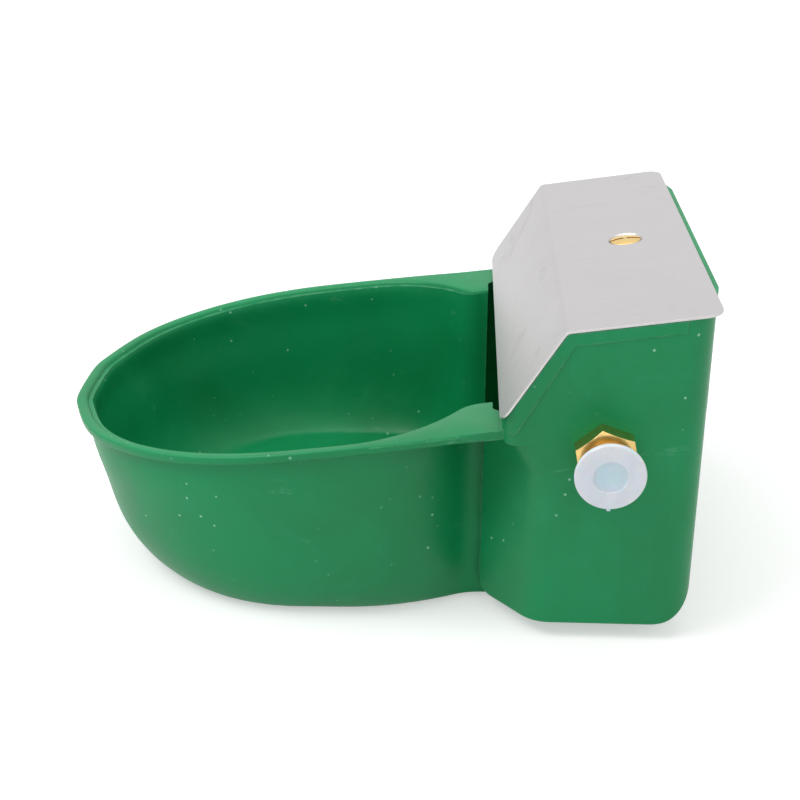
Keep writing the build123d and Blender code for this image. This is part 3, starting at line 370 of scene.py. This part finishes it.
def solid_from_rings(name, rings, closed):
    """A solid whose skin joins each ring of points to the next: end caps close it, or the first ring."""
    shape = bmesh.new()
    rings = [[shape.verts.new(point) for point in ring] for ring in rings]
    pairs = list(zip(rings, rings[1:]))
    if closed:
        pairs.append((rings[-1], rings[0]))
    else:
        shape.faces.new(reversed(rings[0]))
        shape.faces.new(rings[-1])
    for before, after in pairs:
        for j in range(len(before)):
            following = (j + 1) % len(before)
            shape.faces.new((before[j], before[following], after[following], after[j]))
    bmesh.ops.remove_doubles(shape, verts=shape.verts, dist=WELD_DISTANCE)
    bmesh.ops.recalc_face_normals(shape, faces=shape.faces)
    mesh = bpy.data.meshes.new(name)
    shape.to_mesh(mesh)
    shape.free()
    return bpy.data.objects.new(name, mesh)


def ring_at(outline, turn, lift, place):
    """An outline of (radius, height) points, turned round the Z axis of a place and lifted along it."""
    return [place @ Vector((r * math.cos(turn), r * math.sin(turn), h + lift)) for r, h in outline]


def turned(name, outline, place):
    """A solid turned round the Z axis of a place from an outline."""
    turns = [2 * math.pi * k / TURNED_SIDES for k in range(TURNED_SIDES)]
    return solid_from_rings(name, [ring_at(outline, turn, 0, place) for turn in turns], closed=True)


def thread_groove(start, end, place):
    """A ridge wound round the Z axis of a place, from a start height to an end height."""
    outer = THREAD_RADIUS + THREAD_OVERSHOOT
    outline = [(THREAD_RADIUS - THREAD_DEPTH, 0),
               (outer, THREAD_HALF_GROOVE), (outer, -THREAD_HALF_GROOVE)]
    steps = int((end - start) / THREAD_PITCH * STEPS_PER_TURN)
    turns = [k / STEPS_PER_TURN for k in range(steps + 1)]
    rings = [ring_at(outline, 2 * math.pi * t, start + THREAD_PITCH * t, place) for t in turns]
    return solid_from_rings("thread_groove", rings, closed=False)


def reshaped(node, body, material, name, changes):
    """A copy of a CAD node with solids cut from it or joined to it, which stands for the node."""
    piece = shown(bpy.data.objects.new(name, frame["nodes"][node].data.copy()))
    welded(piece)
    for operation, solid in changes:
        change = piece.modifiers.new(solid.name, "BOOLEAN")
        change.operation = operation
        change.object = shown(solid)
    mesh = bpy.data.meshes.new_from_object(piece.evaluated_get(bpy.context.evaluated_depsgraph_get()))
    piece.modifiers.clear()
    piece.data = mesh
    for _, solid in changes:
        bpy.data.objects.remove(solid)
    finished(piece, material)
    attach(piece, body)
    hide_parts(node)
    return piece


def on_inlet_axis(x):
    """A placement on the inlet's axis at a height along X, with its own Z pointing out of the inlet."""
    low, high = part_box("inlet_locknut")
    centre = (low + high) / 2
    outward = Vector((1, 0, 0)).to_track_quat("Z", "Y").to_matrix().to_4x4()
    return Matrix.Translation((x, centre.y, centre.z)) @ outward


def valve_body_with_thread(material):
    """The valve body with its inlet thread cut between the hexagon and the end."""
    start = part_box("inlet_locknut")[1].x + THREAD_RUN_IN
    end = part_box("valve_body")[1].x - THREAD_END_LAND
    groove = thread_groove(start, end, on_inlet_axis(0))
    return reshaped("valve_body", "root", material, "valve_body_threaded", [("DIFFERENCE", groove)])


def plug_with_closed_face(material):
    """The dust plug with a shallow round recess in its face, closed behind by a thin web."""
    place = on_inlet_axis(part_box("inlet_plug")[1].x)
    floor = -PLUG_RECESS_DEPTH
    recess = turned("plug_recess", [(0, CUTTER_CLEARANCE), (PLUG_RECESS_RADIUS, CUTTER_CLEARANCE),
                                    (PLUG_RECESS_RADIUS - PLUG_RECESS_TAPER, floor), (0, floor)], place)
    web = turned("plug_web", [(0, floor), (PLUG_WEB_RADIUS, floor),
                              (PLUG_WEB_RADIUS, floor - PLUG_WEB), (0, floor - PLUG_WEB)], place)
    return reshaped("inlet_plug", "inlet_plug", material, "inlet_plug_closed",
                    [("DIFFERENCE", recess), ("UNION", web)])


# ---- the scene ---------------------------------------------------------------------------
def pale_floor(height):
    """A wide floor that looks white and keeps the bowl's shadow."""
    half = FLOOR_SIZE / 2
    corners = [(-half, -half, height), (half, -half, height), (half, half, height), (-half, half, height)]
    mesh = bpy.data.meshes.new("floor")
    mesh.from_pydata(corners, [], [(0, 1, 2, 3)])
    skin = Skin("floor")
    glow = skin.seen_directly() * FLOOR_GLOW
    grey = skin.node("ShaderNodeCombineColor", {}, {0: glow, 1: glow, 2: glow}, 0)
    mesh.materials.append(skin.finish(
        Base_Color=FLOOR_COLOUR, Roughness=0.9, Emission_Color=grey, Emission_Strength=1.0))
    shown(bpy.data.objects.new("floor", mesh))


def white_surroundings():
    """A world that looks white and lights the bowl more softly."""
    sky = Nodes(bpy.data.worlds.new("studio"), "Background")
    strength = SKY_LIGHT + (1 - SKY_LIGHT) * sky.seen_directly()
    bpy.context.scene.world = sky.finish(Color=(1, 1, 1, 1), Strength=strength)


def soft_lamps():
    for name, place, size, power in LAMPS:
        light = bpy.data.lights.new(name, "AREA")
        light.shape = "DISK"
        light.size = size
        light.energy = power
        lamp = shown(bpy.data.objects.new(name, light))
        lamp.location = place
        lamp.rotation_euler = (LAMP_AIM - lamp.location).to_track_quat("-Z", "Y").to_euler()


def camera():
    lens = bpy.data.cameras.new("camera")
    lens.lens = CAMERA_LENS
    lens.sensor_width = CAMERA_SENSOR
    lens.clip_start = NEAREST_SEEN
    seen_from = shown(bpy.data.objects.new("camera", lens))
    seen_from.location = CAMERA_PLACE
    seen_from.rotation_euler = [math.radians(turn) for turn in CAMERA_TURN]
    bpy.context.scene.camera = seen_from


bpy.context.scene.view_settings.view_transform = "Standard"

finishes = {
    "green_plastic": green_moulding(),
    "stainless_sheet": rolled_steel(),
    "brass_screw": brass_finish("brass_screw", MARKS_ALONG_Z, 0.25, 0.02),
    "brass_turned": brass_finish("brass_turned", MARKS_ALONG_X, 0.45, 0.03),
    "brass_cast": brass_finish("brass_cast", MARKS_ALL_WAYS, 0.8, 0.12),
    "black_rubber": plain_plastic("black_rubber", RUBBER, RUBBER_BLOOM, 0.7),
    "natural_plastic": natural_plug(),
    "white_plastic": plain_plastic("white_plastic", OFF_WHITE, OFF_WHITE_DUST, 0.35),
    "black_plastic": plain_plastic("black_plastic", BLACK_PLASTIC, BLACK_RUB, 0.35),
    "stainless_wire": drawn_wire(),
    "float_plastic": plain_plastic("float_plastic", OFF_WHITE, OFF_WHITE_DUST, 0.42)}

for part in frame["record"]["subparts"]:
    if part["node"] not in ("valve_body", "inlet_plug"):
        finished(frame["nodes"][part["node"]], finishes[part["material_slot"]])
valve_body_with_thread(finishes["brass_turned"])
plug_with_closed_face(finishes["natural_plastic"])

pale_floor(cad_box[0].z - FLOOR_GAP)
white_surroundings()
soft_lamps()
camera()
